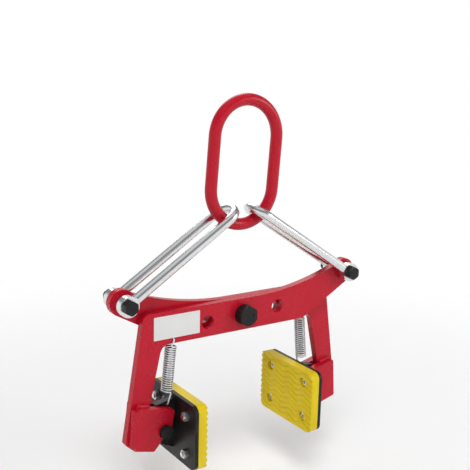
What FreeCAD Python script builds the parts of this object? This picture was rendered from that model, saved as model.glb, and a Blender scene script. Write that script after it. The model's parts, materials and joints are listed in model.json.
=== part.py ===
import FreeCAD, Part
import math
import os
import Sketcher

Vector = FreeCAD.Vector
Rotation = FreeCAD.Rotation
Placement = FreeCAD.Placement

doc = FreeCAD.newDocument("LiftingTongs")

# Driving dimensions of the tongs, in millimetres and degrees
dims = doc.addObject("Spreadsheet::Sheet", "Dims")
sizes = [
    # arm plates, measured from the main pivot
    ("plateThick", 10), ("armGap", 0.2), ("armTop", 20.5), ("armBottom", 20.5),
    ("legOutTop", 139.7), ("legInTop", 115.7), ("legInFoot", 143.9), ("footDepth", 148.5),
    ("footX", 151), ("heelX", 164.2), ("heelZ", 137),
    ("lugX", 162), ("lugZ", 36), ("lugRadius", 16), ("lugTangentX", 170.12), ("lugTangentZ", 22.22),
    ("webTop", 52), ("webFootX", 95), ("sweepStartX", 15), ("sweepRadius", 365),
    ("shoulderRound", 9), ("crotchRound", 12), ("webRound", 20), ("footRound", 4),
    ("pivotHole", 8.05), ("spareHole", 8.5), ("sparePitchX", 52.3), ("spareRise", 2.5),
    ("boltHole", 5.05), ("springHole", 2.6), ("springTopX", 100), ("springTopZ", 14),
    # cheek plates at the feet
    ("cheekThick", 10), ("cheekTopX", 152), ("cheekTopZ", 89.5), ("cheekTipX", 103.2), ("cheekTipZ", 101),
    ("cheekNoseX", 107), ("cheekNoseZ", 122), ("cheekLowX", 131), ("cheekLowZ", 149),
    ("cheekHeelX", 156), ("cheekHeelZ", 142.5), ("cheekRound", 3),
    ("padBoltX", 116), ("padBoltZ", 126),
    # pad carriers and pads
    ("backThick", 5), ("backX", 99), ("padHalfWidth", 56), ("padTopZ", 85), ("padLowZ", 167),
    ("backRound", 10), ("padRound", 9), ("padThick", 12),
    ("tongueThick", 9.6), ("tongueRootX", 97), ("tongueRootTop", 90), ("tongueRootLow", 156),
    ("tongueRiseX", 112), ("tongueRiseZ", 93), ("tongueTopX", 124), ("tongueTopZ", 95),
    ("tongueBackX", 132), ("tongueBackZ", 112), ("tongueRearX", 133), ("tongueRearZ", 131),
    ("tongueHeelX", 125), ("tongueHeelZ", 142), ("tongueLowX", 110), ("tongueLowZ", 150),
    ("hookHole", 2.4), ("hookX", 108), ("hookZ", 97.5),
    ("screwHole", 3.2), ("screwY", 36), ("screwRise", 24), ("recessRadius", 6.5), ("recessDepth", 7),
    ("ridgePitch", 7.45), ("ridgeCount", 10), ("grooveHalf", 2.7), ("grooveDepth", 1.6),
    ("screwRadius", 3), ("screwHead", 5.5), ("screwHeadHigh", 3.5), ("screwLength", 17),
    ("smallNutRadius", 5.77), ("smallNutHigh", 5), ("smallNutBore", 3.05),
    # suspension ring
    ("ringBar", 7.5), ("ringBend", 45), ("ringHalf", 31), ("ringLean", 4), ("ringArcZ", 158.3),
    # links
    ("linkBar", 6), ("linkBend", 17.4), ("linkShift", 2), ("linkLength", 178.2), ("linkAngle", 32.9),
    ("eyeRadius", 12.4), ("eyeInner", 14.8), ("eyeThick", 9.2), ("eyeGap", 0.1),
    # bolts, nuts and washers
    ("pivotRadius", 8), ("pivotHead", 13.86), ("pivotHeadHigh", 10), ("pivotLength", 44),
    ("pivotWasher", 12.8), ("pivotWasherThick", 3), ("pivotNutHigh", 15),
    ("boltRadius", 5), ("boltHead", 9.2376), ("boltHeadHigh", 6.4), ("linkBoltLength", 57),
    ("spacerRadius", 8.8), ("spacerThick", 9.6), ("spacerThin", 5.6), ("boltNutHigh", 10), ("padBoltLength", 42.5),
    # extension springs
    ("wireRadius", 0.85), ("coilRadius", 5.4), ("coilTurns", 24), ("hookReach", 6.2), ("hookBend", 3.4),
    ("hookLeg", 7.5), ("coilStart", 13), ("hookTail", 7), ("hookSeat", 4.6),
]
for row, (alias, value) in enumerate(sizes, start=1):
    cell = "B%d" % row
    dims.set("A%d" % row, alias)
    dims.set(cell, str(value))
    dims.setAlias(cell, alias)
doc.recompute()


def size(alias):
    return float(dims.get(alias))


# Where the main pivot lies below the point on the ring that hangs on the hook
lean = math.radians(size("ringLean"))
pivotPoint = Vector(-2 * size("ringHalf") * math.sin(lean), 0,
                    -size("ringArcZ") - 2 * size("ringHalf") * math.cos(lean)
                    - size("ringBend") + size("ringBar"))
halfTurn = Rotation(Vector(0, 0, 1), 180)
noTurn = Rotation()
pieces = []


def keep(feature, label):
    feature.Label = label
    pieces.append(feature)
    return feature


def bind(feature, **rules):
    for name, rule in rules.items():
        feature.setExpression(name, rule)


# Sketches: every corner is tied to the sheet by its distance from the origin
def planeOf(body, role):
    for feature in body.Origin.OriginFeatures:
        if feature.Role == role:
            return feature


def newSketch(body, name, role, offset=0.0):
    sketch = body.newObject("Sketcher::SketchObject", name)
    sketch.AttachmentSupport = [(planeOf(body, role), "")]
    sketch.MapMode = "FlatFace"
    sketch.AttachmentOffset = Placement(Vector(0, 0, offset), noTurn)
    return sketch


def tie(sketch, kind, geo, point, rule):
    negative = rule.startswith("-")
    formula = rule[1:] if negative else rule
    value = abs(number(formula))
    if value < 1e-9:
        other = "PointOnObject"
        axis = -2 if kind == "DistanceX" else -1
        sketch.addConstraint(Sketcher.Constraint(other, geo, point, axis))
        return
    if negative:
        index = sketch.addConstraint(Sketcher.Constraint(kind, geo, point, -1, 1, value))
    else:
        index = sketch.addConstraint(Sketcher.Constraint(kind, -1, 1, geo, point, value))
    sketch.setExpression("Constraints[%d]" % index, expression(formula))


def number(formula):
    if formula == "0":
        return 0.0
    return sum(size(word) for word in formula.split("+"))


def expression(formula):
    return " + ".join("Dims." + word for word in formula.split("+"))


def signed(rule):
    return -number(rule[1:]) if rule.startswith("-") else number(rule)


def polygon(sketch, corners):
    points = [Vector(signed(x), signed(y), 0) for x, y in corners]
    count = len(points)
    for index in range(count):
        sketch.addGeometry(Part.LineSegment(points[index], points[(index + 1) % count]), False)
    for index in range(count):
        sketch.addConstraint(Sketcher.Constraint("Coincident", index, 2, (index + 1) % count, 1))
    for index, (x, y) in enumerate(corners):
        tie(sketch, "DistanceX", index, 1, x)
        tie(sketch, "DistanceY", index, 1, y)


def circle(sketch, x, y, radius):
    centre = Vector(signed(x), signed(y), 0)
    index = sketch.addGeometry(Part.Circle(centre, Vector(0, 0, 1), size(radius)), False)
    tie(sketch, "DistanceX", index, 3, x)
    tie(sketch, "DistanceY", index, 3, y)
    rule = sketch.addConstraint(Sketcher.Constraint("Radius", index, size(radius)))
    sketch.setExpression("Constraints[%d]" % rule, "Dims." + radius)


def pad(body, sketch, rule, midplane=False):
    feature = body.newObject("PartDesign::Pad", sketch.Name + "Pad")
    feature.Profile = sketch
    feature.Midplane = midplane
    feature.setExpression("Length", rule)
    return feature


def pocketThrough(body, sketch):
    feature = body.newObject("PartDesign::Pocket", sketch.Name + "Cut")
    feature.Profile = sketch
    feature.Type = "ThroughAll"
    feature.Midplane = True
    return feature


# Round the edges of a body that run along one axis and pass near a point
def roundEdges(body, axis, spots, rule):
    doc.recompute()
    base = body.Tip
    names = []
    for index, edge in enumerate(base.Shape.Edges, start=1):
        if len(edge.Vertexes) != 2:
            continue
        run = edge.Vertexes[1].Point - edge.Vertexes[0].Point
        if run.Length < 1e-6 or run.normalize().cross(axis).Length > 1e-4:
            continue
        middle = edge.CenterOfMass
        flat = middle - axis * middle.dot(axis)
        if any((flat - spot).Length < 0.05 for spot in spots):
            names.append("Edge%d" % index)
    feature = body.newObject("PartDesign::Fillet", "Round")
    feature.Base = (base, names)
    feature.setExpression("Radius", rule)
    doc.recompute()
    return feature


alongX = Vector(1, 0, 0)
alongY = Vector(0, 1, 0)


def spotXZ(x, z):
    return Vector(signed(x), 0, signed(z))


def spotYZ(y, z):
    return Vector(0, signed(y), signed(z))


# Arm plates: leg on one side of the pivot, swept lug on the other
def makeArm(label, turn):
    body = doc.addObject("PartDesign::Body", label)
    start = size("armGap") / 2
    outline = newSketch(body, label + "Outline", "XZ_Plane", start)
    polygon(outline, [
        ("-legOutTop", "armTop"), ("sweepStartX", "armTop"), ("lugX", "webTop"),
        ("lugTangentX", "lugTangentZ"), ("webFootX", "-armBottom"), ("-legInTop", "-armBottom"),
        ("-legInFoot", "-footDepth"), ("-footX", "-footDepth"), ("-heelX", "-heelZ"),
    ])
    pad(body, outline, "Dims.plateThick")
    roundEdges(body, alongY, [spotXZ("-legOutTop", "armTop")], "Dims.shoulderRound")
    roundEdges(body, alongY, [spotXZ("-legInTop", "-armBottom")], "Dims.crotchRound")
    roundEdges(body, alongY, [spotXZ("webFootX", "-armBottom")], "Dims.webRound")
    roundEdges(body, alongY, [spotXZ("-footX", "-footDepth"), spotXZ("-heelX", "-heelZ")], "Dims.footRound")
    sweep = newSketch(body, label + "Sweep", "XZ_Plane", start)
    circle(sweep, "sweepStartX", "armTop+sweepRadius", "sweepRadius")
    pocketThrough(body, sweep)
    lug = newSketch(body, label + "Lug", "XZ_Plane", start)
    circle(lug, "lugX", "lugZ", "lugRadius")
    pad(body, lug, "Dims.plateThick")
    holes = newSketch(body, label + "Holes", "XZ_Plane", start)
    circle(holes, "0", "0", "pivotHole")
    circle(holes, "sparePitchX", "spareRise", "spareHole")
    circle(holes, "-sparePitchX", "-spareRise", "spareHole")
    circle(holes, "lugX", "lugZ", "boltHole")
    circle(holes, "-springTopX", "-springTopZ", "springHole")
    pocketThrough(body, holes)
    body.Placement = Placement(pivotPoint, turn)
    return keep(body, label)


makeArm("front_arm", noTurn)
makeArm("rear_arm", halfTurn)


# Cheek plates welded on both faces of each foot
def makeCheek(label, start, turn):
    body = doc.addObject("PartDesign::Body", label)
    outline = newSketch(body, label + "Outline", "XZ_Plane", start)
    corners = [
        ("-cheekTopX", "-cheekTopZ"), ("-cheekTipX", "-cheekTipZ"), ("-cheekNoseX", "-cheekNoseZ"),
        ("-cheekLowX", "-cheekLowZ"), ("-cheekHeelX", "-cheekHeelZ"),
    ]
    polygon(outline, corners)
    pad(body, outline, "Dims.cheekThick")
    roundEdges(body, alongY, [spotXZ(x, z) for x, z in corners], "Dims.cheekRound")
    hole = newSketch(body, label + "Hole", "XZ_Plane", start)
    circle(hole, "-padBoltX", "-padBoltZ", "boltHole")
    pocketThrough(body, hole)
    body.Placement = Placement(pivotPoint, turn)
    return keep(body, label)


faceNear = size("armGap") / 2 + size("plateThick")
faceFar = size("armGap") / 2 - size("cheekThick")
makeCheek("left_cheek_front", faceNear, noTurn)
makeCheek("left_cheek_rear", faceFar, noTurn)
makeCheek("right_cheek_front", faceFar, halfTurn)
makeCheek("right_cheek_rear", faceNear, halfTurn)


# Pad carriers: backing plate with a tongue that turns between the cheeks
armMiddle = (size("plateThick") + size("armGap")) / 2
corner = [("-screwY", 1), ("screwY", 1), ("-screwY", -1), ("screwY", -1)]


def padPlace(side):
    turn = noTurn if side == "left" else halfTurn
    shift = Vector(0, -armMiddle, 0)
    return Placement(pivotPoint + turn.multVec(shift), turn)


def screwHoles(sketch, radius):
    for y, way in corner:
        centreZ = "-screwLowZ" if way < 0 else "-screwTopZ"
        circle(sketch, y, centreZ, radius)


# Heights of the two screw rows, from the pad bolt
for alias, way in (("screwTopZ", -1), ("screwLowZ", 1)):
    row += 1
    dims.set("A%d" % row, alias)
    dims.set("B%d" % row, str(size("padBoltZ") + way * size("screwRise")))
    dims.setAlias("B%d" % row, alias)
doc.recompute()


def makeCarrier(side):
    label = side + "_pad_carrier"
    body = doc.addObject("PartDesign::Body", label)
    plate = newSketch(body, label + "Plate", "YZ_Plane", -size("backX"))
    corners = [("-padHalfWidth", "-padTopZ"), ("padHalfWidth", "-padTopZ"),
               ("padHalfWidth", "-padLowZ"), ("-padHalfWidth", "-padLowZ")]
    polygon(plate, corners)
    pad(body, plate, "Dims.backThick")
    roundEdges(body, alongX, [spotYZ(y, z) for y, z in corners], "Dims.backRound")
    tongue = newSketch(body, label + "Tongue", "XZ_Plane")
    polygon(tongue, [
        ("-tongueRootX", "-tongueRootTop"), ("-tongueRiseX", "-tongueRiseZ"),
        ("-tongueTopX", "-tongueTopZ"), ("-tongueBackX", "-tongueBackZ"),
        ("-tongueRearX", "-tongueRearZ"), ("-tongueHeelX", "-tongueHeelZ"),
        ("-tongueLowX", "-tongueLowZ"), ("-tongueRootX", "-tongueRootLow"),
    ])
    pad(body, tongue, "Dims.tongueThick", True)
    bores = newSketch(body, label + "Bores", "XZ_Plane")
    circle(bores, "-padBoltX", "-padBoltZ", "boltHole")
    circle(bores, "-hookX", "-hookZ", "hookHole")
    pocketThrough(body, bores)
    screws = newSketch(body, label + "Screws", "YZ_Plane", -size("backX"))
    screwHoles(screws, "screwHole")
    pocketThrough(body, screws)
    body.Placement = padPlace(side)
    return keep(body, label)


# Grip pads: soft block with straight ridges and recesses for the screw heads
def makePad(side):
    label = side + "_pad"
    body = doc.addObject("PartDesign::Body", label)
    backFace = size("backThick") - size("backX")
    block = newSketch(body, label + "Block", "YZ_Plane", backFace)
    corners = [("-padHalfWidth", "-padTopZ"), ("padHalfWidth", "-padTopZ"),
               ("padHalfWidth", "-padLowZ"), ("-padHalfWidth", "-padLowZ")]
    polygon(block, corners)
    pad(body, block, "Dims.padThick")
    roundEdges(body, alongX, [spotYZ(y, z) for y, z in corners], "Dims.padRound")
    frontFace = backFace + size("padThick")
    groove = newSketch(body, label + "Groove", "XZ_Plane")
    topZ = -size("padTopZ") - size("ridgePitch")
    tip = Vector(frontFace - size("grooveDepth"), topZ, 0)
    upper = Vector(frontFace, topZ + size("grooveHalf"), 0)
    lower = Vector(frontFace, topZ - size("grooveHalf"), 0)
    for start, end in ((tip, upper), (upper, lower), (lower, tip)):
        groove.addGeometry(Part.LineSegment(start, end), False)
    for index in range(3):
        groove.addConstraint(Sketcher.Constraint("Coincident", index, 2, (index + 1) % 3, 1))
    rule = groove.addConstraint(Sketcher.Constraint("DistanceX", 0, 1, 0, 2, size("grooveDepth")))
    groove.setExpression("Constraints[%d]" % rule, "Dims.grooveDepth")
    rule = groove.addConstraint(Sketcher.Constraint("DistanceY", 0, 1, 0, 2, size("grooveHalf")))
    groove.setExpression("Constraints[%d]" % rule, "Dims.grooveHalf")
    rule = groove.addConstraint(Sketcher.Constraint("DistanceY", 2, 1, 2, 2, size("grooveHalf")))
    groove.setExpression("Constraints[%d]" % rule, "Dims.grooveHalf")
    groove.addConstraint(Sketcher.Constraint("Vertical", 1))
    rule = groove.addConstraint(Sketcher.Constraint("DistanceX", 1, 1, -1, 1, -frontFace))
    groove.setExpression("Constraints[%d]" % rule, "Dims.backX - Dims.backThick - Dims.padThick")
    rule = groove.addConstraint(Sketcher.Constraint("DistanceY", 0, 1, -1, 1, -topZ))
    groove.setExpression("Constraints[%d]" % rule, "Dims.padTopZ + Dims.ridgePitch")
    first = pocketThrough(body, groove)
    doc.recompute()
    rows = body.newObject("PartDesign::LinearPattern", label + "Ridges")
    rows.Originals = [first]
    rows.Direction = (planeOf(body, "Z_Axis"), [""])
    rows.Reversed = True
    rows.setExpression("Occurrences", "Dims.ridgeCount")
    rows.setExpression("Length", "Dims.ridgePitch * (Dims.ridgeCount - 1)")
    body.Tip = rows
    doc.recompute()
    recess = newSketch(body, label + "Recess", "YZ_Plane", frontFace)
    screwHoles(recess, "recessRadius")
    sink = body.newObject("PartDesign::Pocket", label + "RecessCut")
    sink.Profile = recess
    sink.setExpression("Length", "Dims.recessDepth")
    screws = newSketch(body, label + "Screws", "YZ_Plane", backFace)
    screwHoles(screws, "screwHole")
    pocketThrough(body, screws)
    body.Placement = padPlace(side)
    return keep(body, label)


for side in ("left", "right"):
    makeCarrier(side)
    makePad(side)


# Round stock and hexagons, built along their own axis and then placed
def cylinder(name, radiusRule, highRule, base=Vector()):
    feature = doc.addObject("Part::Cylinder", name)
    bind(feature, Radius=radiusRule, Height=highRule)
    feature.Placement = Placement(base, noTurn)
    return feature


def hexagon(name, radiusRule, highRule, base=Vector()):
    feature = doc.addObject("Part::Prism", name)
    feature.Polygon = 6
    bind(feature, Circumradius=radiusRule, Height=highRule)
    feature.Placement = Placement(base, Rotation(Vector(0, 0, 1), 90))
    return feature


# Corners of a hexagon turned off at the end that faces outwards
def crowned(name, radiusRule, high, highRule, base, downwards):
    block = hexagon(name + "Hex", radiusRule, highRule, base)
    cone = doc.addObject("Part::Cone", name + "Crown")
    wide = "%s * 1.35" % radiusRule
    narrow = "%s * 0.92" % radiusRule
    bind(cone, Radius1=narrow if downwards else wide, Radius2=wide if downwards else narrow, Height=highRule)
    cone.Placement = Placement(base, noTurn)
    both = doc.addObject("Part::MultiCommon", name + "Head")
    both.Shapes = [block, cone]
    return both


def makeBolt(label, place, radius, head, headHigh, length):
    top = crowned(label, "Dims." + head, size(headHigh), "Dims." + headHigh, Vector(0, 0, -size(headHigh)), True)
    shank = cylinder(label + "Shank", "Dims." + radius, "Dims." + length)
    bolt = doc.addObject("Part::MultiFuse", label)
    bolt.Shapes = [top, shank]
    bolt.Refine = True
    bolt.Placement = place
    return keep(bolt, label)


def makeNut(label, place, head, high, bore):
    block = crowned(label, "Dims." + head, size(high), "Dims." + high, Vector(), False)
    hole = cylinder(label + "Bore", bore, "Dims.%s + 2" % high, Vector(0, 0, -1))
    nut = doc.addObject("Part::Cut", label)
    nut.Base = block
    nut.Tool = hole
    nut.Placement = place
    return keep(nut, label)


def makeWasher(label, place, radius, thick, bore):
    disc = cylinder(label + "Disc", "Dims." + radius, "Dims." + thick)
    hole = cylinder(label + "Bore", bore, "Dims.%s + 2" % thick, Vector(0, 0, -1))
    washer = doc.addObject("Part::Cut", label)
    washer.Base = disc
    washer.Tool = hole
    washer.Placement = place
    return keep(washer, label)


towardsBack = Rotation(Vector(1, 0, 0), -90)


def across(x, y, z):
    return Placement(pivotPoint + Vector(x, y, z), towardsBack)


# Main pivot bolt through both arms
outside = size("armGap") / 2 + size("plateThick")
washerThick = size("pivotWasherThick")
makeWasher("pivot_washer_front", across(0, -outside - washerThick, 0), "pivotWasher", "pivotWasherThick",
           "Dims.pivotHole")
makeBolt("pivot_bolt", across(0, -outside - washerThick, 0), "pivotRadius", "pivotHead", "pivotHeadHigh",
         "pivotLength")
makeWasher("pivot_washer_rear", across(0, outside, 0), "pivotWasher", "pivotWasherThick", "Dims.pivotHole")
makeNut("pivot_nut", across(0, outside + washerThick, 0), "pivotHead", "pivotNutHigh", "Dims.pivotHole")


# Bolts that carry the links on the lugs, with a spacer on each side of the plate
def makeLinkBolt(side, way, middle):
    x = way * size("lugX")
    z = size("lugZ")
    face = size("plateThick") / 2
    # the thicker spacer is on the side of the ring's plane
    front, rear = ("spacerThick", "spacerThin") if way < 0 else ("spacerThin", "spacerThick")
    eyeReach = size("eyeInner") - size("spacerThick") + size("eyeThick") + size("eyeGap")
    makeWasher(side + "_link_spacer_front", across(x, middle - face - size(front), z), "spacerRadius", front,
               "Dims.boltHole")
    makeWasher(side + "_link_spacer_rear", across(x, middle + face, z), "spacerRadius", rear, "Dims.boltHole")
    makeBolt(side + "_link_bolt", across(x, middle - eyeReach - size(front), z), "boltRadius", "boltHead",
             "boltHeadHigh", "linkBoltLength")
    makeNut(side + "_link_nut", across(x, middle + eyeReach + size(rear), z), "boltHead", "boltNutHigh",
            "Dims.boltHole")


makeLinkBolt("left", -1, armMiddle)
makeLinkBolt("right", 1, -armMiddle)


# Bolts that the pads swing on
def makePadBolt(side, way, middle):
    x = way * size("padBoltX")
    z = -size("padBoltZ")
    reach = size("plateThick") / 2 + size("cheekThick")
    makeBolt(side + "_pad_bolt", across(x, middle - reach, z), "boltRadius", "boltHead", "boltHeadHigh",
             "padBoltLength")
    makeNut(side + "_pad_bolt_nut", across(x, middle + reach, z), "boltHead", "boltNutHigh", "Dims.boltHole")


makePadBolt("left", -1, -armMiddle)
makePadBolt("right", 1, armMiddle)


# Screws that hold each pad on its carrier, heads sunk in the pad
def makePadScrews(side):
    base = padPlace(side)
    towardsArm = Rotation(Vector(0, 1, 0), -90)
    seat = size("backThick") - size("backX") + size("padThick") - size("recessDepth")
    for index, (y, way) in enumerate(corner, start=1):
        z = -size("screwLowZ") if way < 0 else -size("screwTopZ")
        label = "%s_pad_screw_%d" % (side, index)
        head = cylinder(label + "Head", "Dims.screwHead", "Dims.screwHeadHigh",
                        Vector(0, 0, -size("screwHeadHigh")))
        shank = cylinder(label + "Shank", "Dims.screwRadius", "Dims.screwLength")
        screw = doc.addObject("Part::MultiFuse", label)
        screw.Shapes = [head, shank]
        screw.Refine = True
        screw.Placement = base.multiply(Placement(Vector(seat, signed(y), z), towardsArm))
        keep(screw, label)
        nutPlace = base.multiply(Placement(Vector(-size("backX"), signed(y), z), towardsArm))
        makeNut("%s_pad_nut_%d" % (side, index), nutPlace, "smallNutRadius", "smallNutHigh", "Dims.smallNutBore")


makePadScrews("left")
makePadScrews("right")


# Suspension ring: two half-round bends and two straight sides
def makeRing():
    bends = []
    for name, turn, z in (("ringTop", 0, "ringHalf"), ("ringLow", 180, "-ringHalf")):
        bend = doc.addObject("Part::Torus", name)
        bind(bend, Radius1="Dims.ringBend", Radius2="Dims.ringBar")
        bend.Angle3 = 180
        upright = Rotation(Vector(1, 0, 0), 90).multiply(Rotation(Vector(0, 0, 1), turn))
        bend.Placement = Placement(Vector(0, 0, signed(z)), upright)
        bends.append(bend)
    for name, way in (("ringLeft", -1), ("ringRight", 1)):
        bends.append(cylinder(name, "Dims.ringBar", "Dims.ringHalf * 2",
                              Vector(way * size("ringBend"), 0, -size("ringHalf"))))
    ring = doc.addObject("Part::MultiFuse", "suspension_ring")
    ring.Shapes = bends
    ring.Refine = True
    tilt = Rotation(Vector(0, 1, 0), size("ringLean"))
    centre = Vector(0, 0, size("ringArcZ")) + tilt.multVec(Vector(0, 0, size("ringHalf")))
    ring.Placement = Placement(pivotPoint + centre, tilt)
    return keep(ring, "suspension_ring")


makeRing()


# Links: round bar bent into a long loop, its two ends forged to eyes
def makeLink(label, x, y, angle, turn):
    bend = size("linkBend")
    shift = size("linkShift")
    length = size("linkLength")
    inner = size("eyeInner")
    farInner = inner - 2 * shift
    thick = size("eyeThick")
    alongLink = Rotation(Vector(0, 1, 0), 90)
    shapes = []
    loop = doc.addObject("Part::Torus", label + "Loop")
    bind(loop, Radius1="Dims.linkBend", Radius2="Dims.linkBar")
    loop.Angle3 = 180
    loop.Placement = Placement(Vector(length - bend, -shift, 0), Rotation(Vector(0, 0, 1), -90))
    shapes.append(loop)
    cutters = []
    for way in (-1, 1):
        mark = label + ("Near" if way < 0 else "Far")
        side = doc.addObject("Part::Cylinder", mark + "Side")
        bind(side, Radius="Dims.linkBar", Height="Dims.linkLength - Dims.linkBend")
        side.Placement = Placement(Vector(0, way * bend - shift, 0), alongLink)
        shapes.append(side)
        eye = doc.addObject("Part::Cylinder", mark + "Eye")
        bind(eye, Radius="Dims.eyeRadius", Height="Dims.eyeThick")
        eye.Placement = Placement(Vector(0, farInner if way > 0 else -inner - thick, 0), towardsBack)
        shapes.append(eye)
        # flats on the outer face of the eye, where the bar stands proud
        seat = cylinder(mark + "Seat", "Dims.eyeRadius + 1", "Dims.linkBend")
        seat.Placement = Placement(Vector(0, farInner + thick if way > 0 else -inner - thick - bend, 0), towardsBack)
        cutters.append(seat)
    bars = doc.addObject("Part::MultiFuse", label + "Bars")
    bars.Shapes = shapes
    bore = cylinder(label + "Bore", "Dims.boltHole", "Dims.linkBend * 6")
    bore.Placement = Placement(Vector(0, -bend * 3, 0), towardsBack)
    cutters.append(bore)
    between = cylinder(label + "Between", "Dims.eyeRadius + 1", "Dims.eyeInner * 2 - Dims.linkShift * 2")
    between.Placement = Placement(Vector(0, -inner, 0), towardsBack)
    cutters.append(between)
    tools = doc.addObject("Part::MultiFuse", label + "Cutters")
    tools.Shapes = cutters
    link = doc.addObject("Part::Cut", label)
    link.Base = bars
    link.Tool = tools
    link.Refine = True
    rise = Rotation(Vector(0, 1, 0), -angle)
    link.Placement = Placement(pivotPoint + Vector(x, y, size("lugZ")), turn.multiply(rise))
    return keep(link, label)


makeLink("left_link", -size("lugX"), armMiddle, size("linkAngle"), noTurn)
makeLink("right_link", size("lugX"), -armMiddle, size("linkAngle"), halfTurn)


# Extension springs: one wire from hook to hook, as pairs of tangent arcs
def arcPair(start, startWay, end, endWay):
    span = end - start
    total = startWay + endWay
    spread = 2 * (1 - startWay.dot(endWay))
    along = span.dot(total)
    if spread < 1e-9:
        reach = span.dot(span) / (4 * span.dot(endWay))
    else:
        reach = (-along + math.sqrt(along * along + spread * span.dot(span))) / spread
    first = start + startWay * reach
    second = end - endWay * reach
    middle = (first + second) * 0.5
    edges = []
    for point, way, target in ((start, startWay, middle), (middle, None, end)):
        if way is None:
            way = (second - first).normalize()
        edges.append(tangentArc(point, way, target))
    return edges


def tangentArc(point, way, target):
    chord = target - point
    side = chord - way * chord.dot(way)
    if side.Length < 1e-7:
        return Part.LineSegment(point, target).toShape()
    side.normalize()
    radius = chord.dot(chord) / (2 * chord.dot(side))
    centre = point + side * radius
    half = ((point - centre) + (target - centre))
    if half.Length < 1e-6:
        half = way * 1.0
    half.normalize()
    if half.dot(way) < 0 and chord.dot(way) < 0:
        half = half * -1.0
    return Part.Arc(point, centre + half * abs(radius), target).toShape()


# Least clear distance between the wire and any other stretch of itself, on points along it
def leastGap(spine, wire, apart):
    count = 1200
    points = spine.discretize(Number=count)
    skip = int(math.ceil(apart / (spine.Length / (count - 1))))
    least = min((points[i] - points[j]).Length for i in range(count) for j in range(i + skip, count))
    return least - 2 * wire


def makeSpring(side):
    label = side + "_spring"
    wire = size("wireRadius")
    coil = size("coilRadius")
    reach = size("hookReach")
    bend = size("hookBend")
    begin = size("coilStart")
    run = Vector(-size("hookX"), 0, -size("hookZ")) - Vector(-size("springTopX"), 0, -size("springTopZ"))
    total = run.Length
    edges = []
    down = Vector(0, 0, -1)
    leg = Vector(0, -reach, -size("hookLeg"))
    tail = Vector(0, reach, -size("hookTail"))
    bendNear = Vector(0, -reach, -bend)
    bendFar = Vector(0, reach, -bend)
    topNear = Vector(0, -reach + bend, 0)
    topFar = Vector(0, reach - bend, 0)
    slant = math.sqrt(0.5) * bend
    wireEnd = Vector(0, size("hookSeat"), 0)
    nearBend = [
        Part.Arc(topNear, Vector(0, -reach + bend - slant, -bend + slant), bendNear).toShape(),
        Part.LineSegment(bendNear, leg).toShape(),
    ]
    # the upper end stops inside its hole, because the other arm lies close behind it
    upper = [Part.LineSegment(wireEnd, topNear).toShape()] + nearBend
    lower = [
        Part.LineSegment(tail, bendFar).toShape(),
        Part.Arc(bendFar, Vector(0, reach - bend + slant, -bend + slant), topFar).toShape(),
        Part.LineSegment(topFar, topNear).toShape(),
    ] + nearBend
    startAngle = math.radians(-90)
    turns = size("coilTurns") + 0.5
    pitch = (total - 2 * begin) / turns

    def coilPoint(angle):
        drop = begin + pitch * (angle - startAngle) / (2 * math.pi)
        return Vector(coil * math.cos(angle), coil * math.sin(angle), -drop)

    def coilWay(angle):
        way = Vector(-coil * math.sin(angle), coil * math.cos(angle), -pitch / (2 * math.pi))
        return way.normalize()

    edges.extend(upper)
    edges.extend(arcPair(leg, down, coilPoint(startAngle), coilWay(startAngle)))
    steps = int(round(turns * 2))
    for index in range(steps):
        a = startAngle + 2 * math.pi * turns * index / steps
        b = startAngle + 2 * math.pi * turns * (index + 1) / steps
        edges.extend(arcPair(coilPoint(a), coilWay(a), coilPoint(b), coilWay(b)))
    # the lower end is a full hook, turned over about the middle of the spring
    middle = Vector(0, 0, -total / 2)

    def over(point):
        return Vector(point.x, -point.y, -total - point.z)

    lowLeg = over(leg)
    endAngle = startAngle + 2 * math.pi * turns
    edges.extend(arcPair(coilPoint(endAngle), coilWay(endAngle), lowLeg, down))
    flip = Placement(Vector(), Rotation(Vector(1, 0, 0), 180), middle)
    for piece in reversed(lower):
        copy = piece.copy()
        copy.Placement = flip.multiply(copy.Placement)
        edges.append(copy)
    spine = Part.Wire(Part.__sortEdges__(edges))
    section = Part.Wire([Part.Circle(wireEnd, Vector(0, 1, 0), wire).toShape()])
    pipe = Part.BRepOffsetAPI.MakePipeShell(spine)
    pipe.add(section)
    pipe.build()
    pipe.makeSolid()
    solid = pipe.shape()
    if solid.Volume < 0:
        solid.reverse()
    spring = doc.addObject("Part::Feature", label)
    spring.Shape = solid
    slope = math.degrees(math.atan2(run.x, run.z)) - 180
    hang = Rotation(Vector(0, 1, 0), slope)
    turn = noTurn if side == "left" else halfTurn
    local = Placement(Vector(-size("springTopX"), -armMiddle, -size("springTopZ")), hang)
    spring.Placement = Placement(pivotPoint, turn).multiply(local)
    print(label, "turns", turns, "wire", round(2 * wire, 2), "pitch", round(pitch, 3), "least gap to itself",
          round(leastGap(spine, wire, 2 * coil), 3), "length of wire", round(spine.Length, 1))
    return keep(spring, label)


makeSpring("left")
makeSpring("right")
doc.recompute()

# Every object sound before anything is written
for feature in doc.Objects:
    for word in ("Invalid", "Error"):
        if word in feature.State:
            raise RuntimeError("%s is %s" % (feature.Name, word))
for feature in pieces:
    if feature.Shape.isNull() or not feature.Shape.isValid():
        raise RuntimeError("%s has no valid shape" % feature.Label)
    if len(feature.Shape.Solids) != 1:
        raise RuntimeError("%s has %d solids" % (feature.Label, len(feature.Shape.Solids)))

os.makedirs("parts", exist_ok=True)
for feature in pieces:
    feature.Shape.exportStep("parts/%s.step" % feature.Label)
print("pieces", len(pieces), "pivot at", pivotPoint)
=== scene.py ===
import bpy
import bmesh
import json
import math
from mathutils import Matrix, Vector


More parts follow.
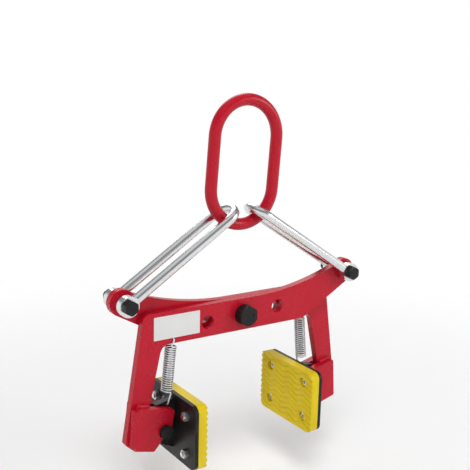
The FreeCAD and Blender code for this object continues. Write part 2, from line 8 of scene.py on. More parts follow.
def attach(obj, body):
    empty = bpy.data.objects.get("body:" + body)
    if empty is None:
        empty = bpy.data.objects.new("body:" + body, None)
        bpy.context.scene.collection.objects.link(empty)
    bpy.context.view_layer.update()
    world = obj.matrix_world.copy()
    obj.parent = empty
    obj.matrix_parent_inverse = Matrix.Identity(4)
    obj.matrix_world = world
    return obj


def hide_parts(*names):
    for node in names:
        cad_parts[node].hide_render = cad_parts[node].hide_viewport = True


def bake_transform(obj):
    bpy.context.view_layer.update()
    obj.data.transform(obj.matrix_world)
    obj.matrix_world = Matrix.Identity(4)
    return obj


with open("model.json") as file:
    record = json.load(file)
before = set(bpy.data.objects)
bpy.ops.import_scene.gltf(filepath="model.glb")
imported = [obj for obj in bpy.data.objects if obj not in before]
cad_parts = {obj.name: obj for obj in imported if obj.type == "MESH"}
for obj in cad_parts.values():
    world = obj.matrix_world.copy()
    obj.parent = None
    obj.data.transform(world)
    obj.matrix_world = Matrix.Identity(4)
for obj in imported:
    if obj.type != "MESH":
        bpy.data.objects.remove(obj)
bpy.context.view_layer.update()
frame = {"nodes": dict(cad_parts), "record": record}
nodes = frame["nodes"]
scene = bpy.context.scene
print("frame loaded:", len(nodes), "CAD nodes")

mm = 0.001
# main pivot, from the inner top of the ring
pivot = Vector((-4.3249, 0.0, -257.649)) * mm
sides = {
    "left": {"armBody": "front_arm", "padBody": "left_pad", "turn": Matrix.Identity(4)},
    "right": {"armBody": "rear_arm", "padBody": "right_pad", "turn": Matrix.Rotation(math.pi, 4, "Z")},
}
# places on the left half that several pieces share, in millimetres from the pivot
foot = {"planeY": -5.1, "frontY": -10.1, "rearY": -0.1, "screwY": 36.0, "screwZ": (-102.0, -150.0)}


# millimetres from the pivot on the left half, brought to metres on either half
def placeOn(side):
    return Matrix.Translation(pivot) @ sides[side]["turn"] @ Matrix.Scale(mm, 4)


# shader node groups shared by the finishes
def newGroup(name, inputs, outputs):
    group = bpy.data.node_groups.new(name, "ShaderNodeTree")
    for title, kind in inputs:
        group.interface.new_socket(name=title, in_out="INPUT", socket_type=kind)
    for title, kind in outputs:
        group.interface.new_socket(name=title, in_out="OUTPUT", socket_type=kind)
    start = group.nodes.new("NodeGroupInput")
    end = group.nodes.new("NodeGroupOutput")
    return group, start, end


def addNoise(tree, detail, rough):
    noise = tree.nodes.new("ShaderNodeTexNoise")
    noise.inputs["Detail"].default_value = detail
    noise.inputs["Roughness"].default_value = rough
    return noise


# two close tones in soft patches, with a fine speckle on top
mottling = {"patchDetail": 4.0, "patchRough": 0.6, "speckleDetail": 2.0, "speckleRough": 0.5,
            "speckleShare": 0.35, "from": 0.45, "to": 0.9}


def makeMottle():
    group, start, end = newGroup(
        "toneMottle",
        [("Tone", "NodeSocketColor"), ("Other", "NodeSocketColor"),
         ("Patch", "NodeSocketFloat"), ("Speckle", "NodeSocketFloat")],
        [("Color", "NodeSocketColor"), ("Mask", "NodeSocketFloat")])
    place = group.nodes.new("ShaderNodeTexCoord")
    patch = addNoise(group, mottling["patchDetail"], mottling["patchRough"])
    speckle = addNoise(group, mottling["speckleDetail"], mottling["speckleRough"])
    blend = group.nodes.new("ShaderNodeMath")
    blend.operation = "MULTIPLY_ADD"
    blend.inputs[1].default_value = mottling["speckleShare"]
    spread = group.nodes.new("ShaderNodeMapRange")
    spread.inputs["From Min"].default_value = mottling["from"]
    spread.inputs["From Max"].default_value = mottling["to"]
    mix = group.nodes.new("ShaderNodeMix")
    mix.data_type = "RGBA"
    link = group.links.new
    link(place.outputs["Object"], patch.inputs["Vector"])
    link(place.outputs["Object"], speckle.inputs["Vector"])
    link(start.outputs["Patch"], patch.inputs["Scale"])
    link(start.outputs["Speckle"], speckle.inputs["Scale"])
    link(speckle.outputs["Fac"], blend.inputs[0])
    link(patch.outputs["Fac"], blend.inputs[2])
    link(blend.outputs["Value"], spread.inputs["Value"])
    link(spread.outputs["Result"], mix.inputs["Factor"])
    link(start.outputs["Tone"], mix.inputs["A"])
    link(start.outputs["Other"], mix.inputs["B"])
    link(mix.outputs["Result"], end.inputs["Color"])
    link(spread.outputs["Result"], end.inputs["Mask"])
    return group


# skin of a sprayed, plated or cast surface: a long swell under a fine grain
skinning = {"swellDetail": 1.0, "swellRough": 0.4, "grainDetail": 3.0, "grainRough": 0.5,
            "grainShare": 0.3, "depth": 0.0002}


def makeSkin():
    group, start, end = newGroup(
        "surfaceSkin",
        [("Swell", "NodeSocketFloat"), ("Grain", "NodeSocketFloat"), ("Strength", "NodeSocketFloat")],
        [("Normal", "NodeSocketVector")])
    place = group.nodes.new("ShaderNodeTexCoord")
    swell = addNoise(group, skinning["swellDetail"], skinning["swellRough"])
    grain = addNoise(group, skinning["grainDetail"], skinning["grainRough"])
    blend = group.nodes.new("ShaderNodeMath")
    blend.operation = "MULTIPLY_ADD"
    blend.inputs[1].default_value = skinning["grainShare"]
    bump = group.nodes.new("ShaderNodeBump")
    bump.inputs["Distance"].default_value = skinning["depth"]
    link = group.links.new
    link(place.outputs["Object"], swell.inputs["Vector"])
    link(place.outputs["Object"], grain.inputs["Vector"])
    link(start.outputs["Swell"], swell.inputs["Scale"])
    link(start.outputs["Grain"], grain.inputs["Scale"])
    link(grain.outputs["Fac"], blend.inputs[0])
    link(swell.outputs["Fac"], blend.inputs[2])
    link(blend.outputs["Value"], bump.inputs["Height"])
    link(start.outputs["Strength"], bump.inputs["Strength"])
    link(bump.outputs["Normal"], end.inputs["Normal"])
    return group


mottleGroup = makeMottle()
skinGroup = makeSkin()
finishes = {
    "redPaint": {"tone": (0.495, 0.005, 0.022), "other": (0.435, 0.004, 0.017),
                 "patch": 16, "speckle": 300, "swell": 260, "grain": 1400,
                 "bump": 0.16, "rough": (0.24, 0.34), "specular": 0.26},
    "zincPlate": {"tone": (0.76, 0.77, 0.78), "other": (0.70, 0.71, 0.72),
                  "patch": 45, "speckle": 900, "swell": 90, "grain": 1800,
                  "bump": 0.02, "rough": (0.18, 0.24), "metal": 1.0},
    "zincDull": {"tone": (0.74, 0.75, 0.76), "other": (0.58, 0.60, 0.61),
                 "patch": 160, "speckle": 1400, "swell": 400, "grain": 2200,
                 "bump": 0.12, "rough": (0.36, 0.50), "metal": 1.0},
    "springWire": {"tone": (0.80, 0.81, 0.84), "other": (0.68, 0.69, 0.72),
                   "patch": 90, "speckle": 1200, "swell": 300, "grain": 2000,
                   "bump": 0.06, "rough": (0.22, 0.36), "metal": 0.35},
    # painted shade: a dark zinc for the coil's inner side and the undersides of its turns, where the turns
    # shade each other
    "paintedCoilShade": {"tone": (0.035, 0.035, 0.038), "other": (0.022, 0.022, 0.024),
                    "patch": 90, "speckle": 900, "swell": 300, "grain": 1800,
                    "bump": 0.10, "rough": (0.4, 0.55), "metal": 1.0},
    "blackOxide": {"tone": (0.009, 0.009, 0.010), "other": (0.017, 0.016, 0.016),
                   "patch": 110, "speckle": 1500, "swell": 500, "grain": 2400,
                   "bump": 0.20, "rough": (0.26, 0.42), "specular": 0.22},
    "blackCoat": {"tone": (0.009, 0.009, 0.009), "other": (0.016, 0.015, 0.014),
                  "patch": 38, "speckle": 900, "swell": 300, "grain": 1600,
                  "bump": 0.24, "rough": (0.32, 0.46), "specular": 0.22},
    "yellowPad": {"tone": (0.74, 0.57, 0.006), "other": (0.67, 0.49, 0.005),
                  "patch": 30, "speckle": 700, "swell": 220, "grain": 1500,
                  "bump": 0.22, "rough": (0.36, 0.50), "specular": 0.24},
    "labelFilm": {"tone": (0.71, 0.71, 0.705), "other": (0.67, 0.67, 0.665),
                  "patch": 24, "speckle": 500, "swell": 60, "grain": 900,
                  "bump": 0.05, "rough": (0.28, 0.36), "specular": 0.3},
    "labelRim": {"tone": (0.52, 0.53, 0.54), "other": (0.46, 0.47, 0.48),
                 "patch": 40, "speckle": 500, "swell": 60, "grain": 900,
                 "bump": 0.05, "rough": (0.32, 0.40), "specular": 0.3},
}
# what a finish has where it names no metal or specular of its own
plainFinish = {"metal": 0.0, "specular": 0.5}


def makeFinish(name, look):
    look = {**plainFinish, **look}
    material = bpy.data.materials.new(name)
    material.use_nodes = True
    tree = material.node_tree
    shader = tree.nodes["Principled BSDF"]
    mottle = tree.nodes.new("ShaderNodeGroup")
    mottle.node_tree = mottleGroup
    mottle.inputs["Tone"].default_value = (*look["tone"], 1)
    mottle.inputs["Other"].default_value = (*look["other"], 1)
    mottle.inputs["Patch"].default_value = look["patch"]
    mottle.inputs["Speckle"].default_value = look["speckle"]
    skin = tree.nodes.new("ShaderNodeGroup")
    skin.node_tree = skinGroup
    skin.inputs["Swell"].default_value = look["swell"]
    skin.inputs["Grain"].default_value = look["grain"]
    skin.inputs["Strength"].default_value = look["bump"]
    gloss = tree.nodes.new("ShaderNodeMapRange")
    gloss.inputs["To Min"].default_value = look["rough"][0]
    gloss.inputs["To Max"].default_value = look["rough"][1]
    link = tree.links.new
    link(mottle.outputs["Color"], shader.inputs["Base Color"])
    link(mottle.outputs["Mask"], gloss.inputs["Value"])
    link(gloss.outputs["Result"], shader.inputs["Roughness"])
    link(skin.outputs["Normal"], shader.inputs["Normal"])
    shader.inputs["Metallic"].default_value = look["metal"]
    shader.inputs["Specular IOR Level"].default_value = look["specular"]
    material.diffuse_color = (*look["tone"], 1)
    return material


finish = {name: makeFinish(name, look) for name, look in finishes.items()}
print("finishes made:", ", ".join(finish))


# a smooth-shaded object at the origin, from a finished shape
def addSmooth(name, bm, material):
    mesh = bpy.data.meshes.new(name)
    bm.to_mesh(mesh)
    bm.free()
    mesh.polygons.foreach_set("use_smooth", [True] * len(mesh.polygons))
    mesh.materials.append(material)
    thing = bpy.data.objects.new(name, mesh)
    scene.collection.objects.link(thing)
    return thing


# a piece of the tongs, on its body where one is given
def addPiece(name, bm, material, body, sharpAngle):
    piece = addSmooth(name, bm, finish[material])
    piece.data.set_sharp_from_angle(angle=math.radians(sharpAngle))
    if body:
        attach(piece, body)
    return piece


# a live bevel, in millimetres, on edges that turn by more than an angle
def addBevel(piece, name, width, segments, fromAngle):
    bevel = piece.modifiers.new(name, "BEVEL")
    bevel.width = width * mm
    bevel.segments = segments
    bevel.limit_method = "ANGLE"
    bevel.angle_limit = math.radians(fromAngle)
    return bevel


# a CAD node's shape with its points joined and its flat faces whole
cadCopy = {"joinWithin": 2e-6, "flatWithin": 0.4}


def mergedCopy(node):
    bm = bmesh.new()
    bm.from_mesh(nodes[node].data)
    bmesh.ops.remove_doubles(bm, verts=bm.verts, dist=cadCopy["joinWithin"])
    flatWithin = math.radians(cadCopy["flatWithin"])
    bmesh.ops.dissolve_limit(bm, angle_limit=flatWithin, verts=bm.verts, edges=bm.edges)
    return bm


# edges or corners rounded in the shape itself
rounding = {"profile": 0.5, "ownMaterial": -1}


def roundOff(bm, geom, offset, affect, segments):
    bmesh.ops.bevel(bm, geom=geom, offset=offset, offset_type="OFFSET", affect=affect, segments=segments,
                    profile=rounding["profile"], material=rounding["ownMaterial"])


def pickEdges(items):
    return [item for item in items if isinstance(item, bmesh.types.BMEdge)]


def pickVerts(items):
    return [item for item in items if isinstance(item, bmesh.types.BMVert)]


# all edges that meet the given points, each once
def edgesOf(verts):
    return list(dict.fromkeys(edge for vert in verts for edge in vert.link_edges))


# the edges of a wire's or bar's end that a step has just made
def endLoop(items):
    verts = set(pickVerts(items))
    return [edge for edge in pickEdges(items) if set(edge.verts) <= verts]


# CAD nodes that keep their own shape only take a finish
slotFinish = {"red_paint": "redPaint", "zinc": "zincPlate", "black_bolt": "blackOxide",
              "black_paint": "blackCoat", "yellow_pad": "yellowPad"}


def dressNodes():
    for entry in frame["record"]["subparts"]:
        look = slotFinish[entry["material_slot"]]
        # the nuts behind the pads are duller than the rest of the zinc
        if "pad_nut" in entry["node"]:
            look = "zincDull"
        mesh = nodes[entry["node"]].data
        mesh.materials.clear()
        mesh.materials.append(finish[look])


dressNodes()
print("CAD nodes dressed")

# flame-cut plates with their sharp edges broken
plates = {
    "armEdge": 0.9, "carrierEdge": 1.2, "segments": 3, "edgeFrom": 40, "sharp": 25,
    "red": {"front_arm": "front_arm", "rear_arm": "rear_arm",
            "left_cheek_front": "front_arm", "left_cheek_rear": "front_arm",
            "right_cheek_front": "rear_arm", "right_cheek_rear": "rear_arm"},
    "black": {"left_pad_carrier": "left_pad", "right_pad_carrier": "right_pad"},
}


def softenPlate(node, body, material, edge):
    piece = addPiece(node + "_plate", mergedCopy(node), material, body, plates["sharp"])
    bevel = addBevel(piece, "brokenEdge", edge, plates["segments"], plates["edgeFrom"])
    bevel.harden_normals = True
    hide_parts(node)


for node, body in plates["red"].items():
    softenPlate(node, body, "redPaint", plates["armEdge"])
for node, body in plates["black"].items():
    softenPlate(node, body, "blackCoat", plates["carrierEdge"])
print("plates softened")

# weld beads with an oval section where the cheeks meet the arm, on both faces of each foot
weld = {"sides": 40, "step": 1.8, "ripple": 0.012, "sharp": 60,
        "roundEnd": 0.7, "endSegments": 4, "endFrom": 60,
        "faces": {"front": foot["frontY"], "rear": foot["rearY"]},
        "runs": {"heel": {"from": (-152.3, -92.5), "to": (-156.4, -139.5), "wide": 4.2, "high": 10.0},
                 "edge": {"from": (-152.3, -92.5), "to": (-155.7, -139.5), "wide": 1.4, "high": 2.0},
                 "top": {"from": (-150.5, -89.9), "to": (-133.5, -93.9), "wide": 3.4, "high": 3.8}},
        "laid": {"front": ("heel", "top"), "rear": ("edge", "top")}}


def makeWeld(side, face, run):
    line = weld["runs"][run]
    start, end = (Vector((x, weld["faces"][face], z)) for x, z in (line["from"], line["to"]))
    along = end - start
    count = int(along.length / weld["step"])
    turn = Vector((0, 0, 1)).rotation_difference(along).to_matrix().to_4x4()
    oval = Matrix.Diagonal((line["wide"], line["high"], 1, 1))
    bm = bmesh.new()
    ring = bmesh.ops.create_circle(bm, cap_ends=True, segments=weld["sides"], radius=1,
                                   matrix=Matrix.Translation(start) @ turn @ oval)
    loop = edgesOf(ring["verts"])
    for index in range(count):
        grown = bmesh.ops.extrude_edge_only(bm, edges=loop)["geom"]
        loop = endLoop(grown)
        bmesh.ops.translate(bm, verts=pickVerts(grown), vec=along / count)
        # the bead swells and shrinks by turns
        swell = 1 + weld["ripple"] if index % 2 == 0 else 1 / (1 + weld["ripple"])
        centre = start + along * (index + 1) / count
        bmesh.ops.scale(bm, verts=pickVerts(grown), vec=(swell, swell, swell),
                        space=Matrix.Translation(-centre))
    bmesh.ops.holes_fill(bm, edges=loop, sides=0)
    bmesh.ops.recalc_face_normals(bm, faces=bm.faces)
    bmesh.ops.transform(bm, matrix=placeOn(side), verts=bm.verts)
    name = "%s_weld_%s_%s" % (side, face, run)
    piece = addPiece(name, bm, "redPaint", sides[side]["armBody"], weld["sharp"])
    addBevel(piece, "roundedEnd", line["wide"] * weld["roundEnd"], weld["endSegments"], weld["endFrom"])


for side in sides:
    for face, runs in weld["laid"].items():
        for run in runs:
            makeWeld(side, face, run)
print("welds laid")

# grip pads: the ridges run across the face in waves
padWave = {"swing": 2.4, "length": 30.0, "step": 2.5, "cutSnap": 1e-4, "faceX": -82.0, "skin": 2.1,
           "screwClear": 7.6, "halfWidth": 56.0, "topZ": -85.0, "lowZ": -167.0, "rim": 4.0,
           "edge": 0.5, "edgeSegments": 2, "edgeFrom": 25, "sharp": 30}


def makePad(side):
    bm = mergedCopy(side + "_pad")
    bmesh.ops.transform(bm, matrix=placeOn(side).inverted(), verts=bm.verts)
    y = foot["planeY"] - padWave["halfWidth"] + padWave["step"]
    while y < foot["planeY"] + padWave["halfWidth"] - padWave["step"] / 2:
        bmesh.ops.bisect_plane(bm, geom=bm.verts[:] + bm.edges[:] + bm.faces[:], dist=padWave["cutSnap"],
                               plane_co=(0, y, 0), plane_no=(0, 1, 0))
        y += padWave["step"]
    # the waves leave out the back, the rim and the seats of the screws
    for vert in bm.verts:
        if vert.co.x < padWave["faceX"] - padWave["skin"]:
            continue
        across = vert.co.y - foot["planeY"]
        nearScrew = any(math.hypot(abs(across) - foot["screwY"], vert.co.z - z) < padWave["screwClear"]
                        for z in foot["screwZ"])
        rim = min(padWave["topZ"] - vert.co.z, vert.co.z - padWave["lowZ"])
        if not nearScrew and rim > padWave["rim"]:
            vert.co.z += padWave["swing"] * math.sin(2 * math.pi * across / padWave["length"])
    bmesh.ops.transform(bm, matrix=placeOn(side), verts=bm.verts)
    body = sides[side]["padBody"]
    piece = addPiece(side + "_grip_pad", bm, "yellowPad", body, padWave["sharp"])
    addBevel(piece, "mouldedEdge", padWave["edge"], padWave["edgeSegments"], padWave["edgeFrom"])
    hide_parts(side + "_pad")


for side in sides:
    makePad(side)
print("grip pads waved")

# screws that hold the pads, each with a hexagon socket in its head
padScrew = {"head": 5.5, "high": 3.5, "radius": 3.0, "long": 17.0, "segments": 36, "seatX": -89.0,
            "crown": 0.6, "crownSteps": 3, "socket": 2.9, "socketSides": 6, "socketDeep": 2.2, "sharp": 35}


def makeScrewShape():
    bm = bmesh.new()
    count = padScrew["segments"]
    bmesh.ops.create_circle(bm, cap_ends=True, segments=count, radius=padScrew["radius"])
    bmesh.ops.translate(bm, verts=bm.verts, vec=(0, 0, -padScrew["long"]))
    loop = bm.edges[:]
    flare = padScrew["head"] / padScrew["radius"]
    for rise, grow in ((padScrew["long"], 1), (0, flare), (padScrew["high"], 1)):
        out = bmesh.ops.extrude_edge_only(bm, edges=loop)["geom"]
        loop = endLoop(out)
        bmesh.ops.translate(bm, verts=pickVerts(out), vec=(0, 0, rise))
        bmesh.ops.scale(bm, verts=pickVerts(out), vec=(grow, grow, 1))
    bmesh.ops.holes_fill(bm, edges=loop, sides=0)
    roundOff(bm, loop, padScrew["crown"], "EDGES", padScrew["crownSteps"])
    top = max(bm.faces, key=lambda face: face.calc_center_median().z)
    rim = top.edges[:]
    bmesh.ops.delete(bm, geom=[top], context="FACES_ONLY")
    mouth = bmesh.ops.create_circle(bm, segments=padScrew["socketSides"], radius=padScrew["socket"])["verts"]
    bmesh.ops.translate(bm, verts=mouth, vec=(0, 0, padScrew["high"]))
    bmesh.ops.subdivide_edges(bm, edges=edgesOf(mouth), cuts=count // padScrew["socketSides"] - 1)
    hexagon = [edge for edge in bm.edges if edge.is_wire]
    bmesh.ops.bridge_loops(bm, edges=rim + hexagon)
    out = bmesh.ops.extrude_edge_only(bm, edges=hexagon)["geom"]
    bmesh.ops.translate(bm, verts=pickVerts(out), vec=(0, 0, -padScrew["socketDeep"]))
    bmesh.ops.holes_fill(bm, edges=endLoop(out), sides=0)
    bmesh.ops.recalc_face_normals(bm, faces=bm.faces)
    return bm


def makePadScrews(side):
    body = sides[side]["padBody"]
    number = 0
    for z in foot["screwZ"]:
        for y in (-foot["screwY"], foot["screwY"]):
            number += 1
            bm = makeScrewShape()
            stand = Matrix.Translation((padScrew["seatX"], foot["planeY"] + y, z))
            stand = stand @ Matrix.Rotation(math.pi / 2, 4, "Y")
            bmesh.ops.transform(bm, matrix=placeOn(side) @ stand, verts=bm.verts)
            node = "%s_pad_screw_%d" % (side, number)
            piece = addPiece(node + "_socket", bm, "zincPlate", body, padScrew["sharp"])
            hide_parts(node)


for side in sides:
    makePadScrews(side)
print("pad screws set")

# extension springs: coil by spin, hooks by spin and extrude
spring = {"wire": 1.0, "ring": 12, "coil": 6.4, "turns": 20, "perTurn": 32,
          "startTop": 11.4, "startLow": 16.2, "reach": 6.2, "bend": 3.4, "bendSteps": 6, "leanSteps": 4,
          "seat": 4.6, "tail": 7.0, "rise": 2.4, "joinWithin": 1e-4, "sharp": 60,
          "darkTo": 0.2, "darkBelow": 0.1,
          "top": (-100.0, foot["planeY"], -14.0), "low": (-108.0, foot["planeY"], -97.5)}


def pushWire(bm, loop, step):
    out = bmesh.ops.extrude_edge_only(bm, edges=loop)["geom"]
    bmesh.ops.translate(bm, verts=pickVerts(out), vec=step)
    return endLoop(out)


def turnWire(bm, loop, centre, axis, angle, steps, climb=(0, 0, 0)):
    out = bmesh.ops.spin(bm, geom=loop, cent=centre, axis=axis, dvec=climb, angle=angle, steps=steps)
    return endLoop(out["geom_last"])


# from a coil end up the near side of a plate and through its hole
def makeHook(bm, loop, startZ, tail):
    bend = spring["bend"]
    rise = spring["rise"]
    reach = spring["reach"]
    steps = spring["bendSteps"]
    quarter = math.pi / 2
    loop = turnWire(bm, loop, (0, -spring["coil"], startZ + rise), (0, 1, 0), quarter, steps)
    lean = Vector((rise, spring["coil"] - reach, -bend - startZ - rise))
    for _ in range(spring["leanSteps"]):
        loop = pushWire(bm, loop, lean / spring["leanSteps"])
    loop = turnWire(bm, loop, (0, -reach + bend, -bend), (1, 0, 0), -quarter, steps)
    if not tail:
        return pushWire(bm, loop, (0, spring["seat"] + reach - bend, 0))
    loop = pushWire(bm, loop, (0, 2 * (reach - bend), 0))
    loop = turnWire(bm, loop, (0, reach - bend, -bend), (1, 0, 0), -quarter, steps)
    return pushWire(bm, loop, (0, 0, bend - spring["tail"]))


def makeSpring(side):
    top = Vector(spring["top"])
    low = Vector(spring["low"])
    length = (low - top).length
    bm = bmesh.new()
    across = Matrix.Translation((0, -spring["coil"], -spring["startTop"]))
    across = across @ Matrix.Rotation(math.pi / 2, 4, "Y")
    ring = bmesh.ops.create_circle(bm, segments=spring["ring"], radius=spring["wire"], matrix=across)
    first = edgesOf(ring["verts"])
    count = int(spring["turns"] * spring["perTurn"])
    drop = (length - spring["startTop"] - spring["startLow"]) / count
    last = turnWire(bm, first, (0, 0, 0), (0, 0, 1), 2 * math.pi * spring["turns"], count, (0, 0, -drop))
    bmesh.ops.holes_fill(bm, edges=makeHook(bm, first, -spring["startTop"], False), sides=0)
    # the lower hook is made upside down, where the upper one was
    over = Matrix.Translation((0, 0, -length)) @ Matrix.Rotation(math.pi, 4, "Y")
    bmesh.ops.transform(bm, matrix=over.inverted(), verts=bm.verts)
    bmesh.ops.holes_fill(bm, edges=makeHook(bm, last, -spring["startLow"], True), sides=0)
    bmesh.ops.transform(bm, matrix=over, verts=bm.verts)
    bmesh.ops.remove_doubles(bm, verts=bm.verts, dist=spring["joinWithin"])
    bmesh.ops.recalc_face_normals(bm, faces=bm.faces)
    # painted shade: each turn is dull and dark on its lower side and towards the coil's middle, where the
    # turns shade each other
    for face in bm.faces:
        spot = face.calc_center_median()
        onCoil = -length + spring["startLow"] < spot.z < -spring["startTop"]
        inside = math.hypot(spot.x, spot.y) < spring["coil"] + spring["wire"] * spring["darkTo"]
        if onCoil and (inside or face.normal.z < spring["darkBelow"]):
            face.material_index = 1
    hang = Vector((0, 0, -1)).rotation_difference(low - top).to_matrix().to_4x4()
    place = placeOn(side)
    bmesh.ops.transform(bm, matrix=place @ Matrix.Translation(top) @ hang, verts=bm.verts)
    piece = addPiece(side + "_coil_spring", bm, "springWire", None, spring["sharp"])
    piece.data.materials.append(finish["paintedCoilShade"])
    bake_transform(piece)
    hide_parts(side + "_spring")


for side in sides:
    makeSpring(side)
print("springs wound")

# blank film label on the front arm
label = {"x": (-126.6, -64.0), "z": (-13.5, 15.2), "faceY": foot["frontY"], "thick": 0.25,
         "corner": 1.0, "cornerSteps": 4, "rim": 0.6, "sharp": 30}


def makeLabel():
    bm = bmesh.new()
    width = label["x"][1] - label["x"][0]
    height = label["z"][1] - label["z"][0]
    centre = Vector((sum(label["x"]) / 2, label["faceY"], sum(label["z"]) / 2))
    bmesh.ops.create_grid(bm, x_segments=1, y_segments=1, size=0.5)
    bmesh.ops.scale(bm, vec=(width, height, 1), verts=bm.verts)
    roundOff(bm, bm.verts[:], label["corner"], "VERTICES", label["cornerSteps"])
    bmesh.ops.rotate(bm, matrix=Matrix.Rotation(math.pi / 2, 3, "X"), cent=(0, 0, 0), verts=bm.verts)
    bmesh.ops.translate(bm, vec=centre, verts=bm.verts)
    inner = bm.faces[:]
    bmesh.ops.inset_region(bm, faces=inner, thickness=label["rim"], depth=0)
    for face in bm.faces:
        face.material_index = 0 if face in inner else 1
    grown = bmesh.ops.extrude_face_region(bm, geom=bm.faces[:])["geom"]
    bmesh.ops.translate(bm, vec=(0, -label["thick"], 0), verts=pickVerts(grown))
    bmesh.ops.recalc_face_normals(bm, faces=bm.faces)
    bmesh.ops.transform(bm, matrix=placeOn("left"), verts=bm.verts)
    piece = addPiece("blank_label", bm, "labelFilm", "front_arm", label["sharp"])
    piece.data.materials.append(finish["labelRim"])


makeLabel()
print("label laid")

# stage: a paper bowl that turns grey above the view, an open top, three softboxes and the camera
stage = {"floorZ": -0.50, "floorRadius": 2.6, "cove": 0.8, "wall": 4.6, "coveSteps": 10, "roundSteps": 64,
         "joinWithin": 1e-5, "tone": 0.92, "rough": 0.9, "specular": 0.1,
         "fadeFrom": 0.35, "fadeTo": 1.1, "greyFrom": 0.45, "greyTo": 1.2, "grey": 0.30,
         "skyFill": 0.16, "skySeen": 0.75,
         "lamps": [{"at": (-0.9, -1.4, 2.2), "size": 1.2, "power": 44.0, "mirrored": False},
                   {"at": (1.7, -1.5, 0.6), "size": 0.9, "power": 15.0, "mirrored": True},
                   {"at": (0.6, 1.7, 1.5), "size": 1.5, "power": 20.0, "mirrored": True}],
         "aim": (0.0, 0.0, -0.22)}


# one where a surface is seen straight, mirrored or through glass, and nought where it only lights others
def addSeenMask(tree):
    path = tree.nodes.new("ShaderNodeLightPath")
    sharp = tree.nodes.new("ShaderNodeMath")
    sharp.operation = "MAXIMUM"
    seen = tree.nodes.new("ShaderNodeMath")
    seen.operation = "MAXIMUM"
    link = tree.links.new
    link(path.outputs["Is Camera Ray"], sharp.inputs[0])
    link(path.outputs["Is Glossy Ray"], sharp.inputs[1])
    link(sharp.outputs["Value"], seen.inputs[0])
    link(path.outputs["Is Transmission Ray"], seen.inputs[1])
    return seen.outputs["Value"]


def addFade(tree, low, high):
    fade = tree.nodes.new("ShaderNodeMapRange")
    fade.interpolation_type = "SMOOTHSTEP"
    fade.inputs["From Min"].default_value = low
    fade.inputs["From Max"].default_value = high
    return fade


# white paper that keeps the shadow under the object and turns to plain white further out
def makePaper():
    paper = bpy.data.materials.new("whitePaper")
    paper.use_nodes = True
    tree = paper.node_tree
    shader = tree.nodes["Principled BSDF"]
    shader.inputs["Base Color"].default_value = (stage["tone"], stage["tone"], stage["tone"], 1)
    shader.inputs["Roughness"].default_value = stage["rough"]
    shader.inputs["Specular IOR Level"].default_value = stage["specular"]
    glow = tree.nodes.new("ShaderNodeEmission")
    glow.inputs["Strength"].default_value = 1.0
    place = tree.nodes.new("ShaderNodeTexCoord")
    parts = tree.nodes.new("ShaderNodeSeparateXYZ")
    dim = addFade(tree, stage["greyFrom"], stage["greyTo"])
    dim.inputs["To Min"].default_value = 1.0
    dim.inputs["To Max"].default_value = stage["grey"]
    flat = tree.nodes.new("ShaderNodeVectorMath")
    flat.operation = "MULTIPLY"
    flat.inputs[1].default_value = (1, 1, 0)
    reach = tree.nodes.new("ShaderNodeVectorMath")
    reach.operation = "LENGTH"
    fade = addFade(tree, stage["fadeFrom"], stage["fadeTo"])
    share = tree.nodes.new("ShaderNodeMath")
    share.operation = "MULTIPLY"
    mix = tree.nodes.new("ShaderNodeMixShader")
    link = tree.links.new
    link(place.outputs["Object"], parts.inputs["Vector"])
    link(parts.outputs["Z"], dim.inputs["Value"])
    link(dim.outputs["Result"], glow.inputs["Color"])
    link(place.outputs["Object"], flat.inputs[0])
    link(flat.outputs["Vector"], reach.inputs[0])
    link(reach.outputs["Value"], fade.inputs["Value"])
    link(addSeenMask(tree), share.inputs[0])
    link(fade.outputs["Result"], share.inputs[1])
    link(share.outputs["Value"], mix.inputs[0])
    link(shader.outputs["BSDF"], mix.inputs[1])
    link(glow.outputs["Emission"], mix.inputs[2])
    link(mix.outputs["Shader"], tree.nodes["Material Output"].inputs["Surface"])
    return paper


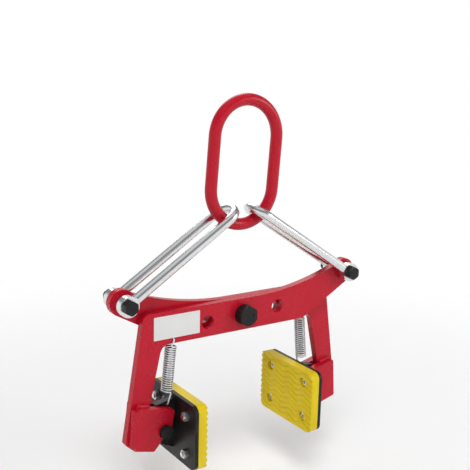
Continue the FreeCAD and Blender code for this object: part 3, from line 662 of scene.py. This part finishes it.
def makeBowl():
    bm = bmesh.new()
    low = stage["floorZ"]
    hub = bm.verts.new((0, 0, low))
    rim = bm.verts.new((stage["floorRadius"], 0, low))
    bm.edges.new((hub, rim))
    centre = (stage["floorRadius"], 0, low + stage["cove"])
    bend = bmesh.ops.spin(bm, geom=[rim], cent=centre, axis=(0, 1, 0), angle=-math.pi / 2,
                          steps=stage["coveSteps"])
    top = bmesh.ops.extrude_vert_indiv(bm, verts=pickVerts(bend["geom_last"]))
    bmesh.ops.translate(bm, verts=top["verts"], vec=(0, 0, stage["wall"]))
    bmesh.ops.spin(bm, geom=bm.edges[:], cent=(0, 0, 0), axis=(0, 0, 1), angle=2 * math.pi,
                   steps=stage["roundSteps"], use_merge=True)
    bmesh.ops.remove_doubles(bm, verts=bm.verts, dist=stage["joinWithin"])
    bmesh.ops.recalc_face_normals(bm, faces=bm.faces)
    bmesh.ops.reverse_faces(bm, faces=bm.faces)
    addSmooth("paperBowl", bm, makePaper())


def makeLight():
    world = bpy.data.worlds.new("studio")
    scene.world = world
    world.use_nodes = True
    tree = world.node_tree
    sky = tree.nodes["Background"]
    sky.inputs["Color"].default_value = (1, 1, 1, 1)
    glow = tree.nodes.new("ShaderNodeMapRange")
    glow.inputs["To Min"].default_value = stage["skyFill"]
    glow.inputs["To Max"].default_value = stage["skySeen"]
    tree.links.new(addSeenMask(tree), glow.inputs["Value"])
    tree.links.new(glow.outputs["Result"], sky.inputs["Strength"])
    for index, lamp in enumerate(stage["lamps"]):
        data = bpy.data.lights.new("softbox%d" % index, "AREA")
        data.shape = "SQUARE"
        data.size = lamp["size"]
        data.energy = lamp["power"]
        box = bpy.data.objects.new("softbox%d" % index, data)
        scene.collection.objects.link(box)
        box.visible_glossy = lamp["mirrored"]
        box.location = lamp["at"]
        box.rotation_euler = (Vector(stage["aim"]) - box.location).to_track_quat("-Z", "Y").to_euler()


camera = {"at": (-0.568225, -0.82934, 0.06728), "right": (0.83374, -0.55167, 0.02311),
          "up": (0.10244, 0.19568, 0.97530), "back": (-0.54257, -0.81078, 0.21966),
          "lens": 63.70, "sensor": 36, "farClip": 50}


def makeCamera():
    data = bpy.data.cameras.new("camera")
    data.sensor_width = camera["sensor"]
    data.lens = camera["lens"]
    data.clip_end = camera["farClip"]
    eye = bpy.data.objects.new("camera", data)
    scene.collection.objects.link(eye)
    turn = Matrix((camera["right"], camera["up"], camera["back"])).transposed().to_4x4()
    eye.matrix_world = Matrix.Translation(camera["at"]) @ turn
    scene.camera = eye


makeBowl()
makeLight()
makeCamera()
scene.view_settings.view_transform = "Standard"
print("stage set")
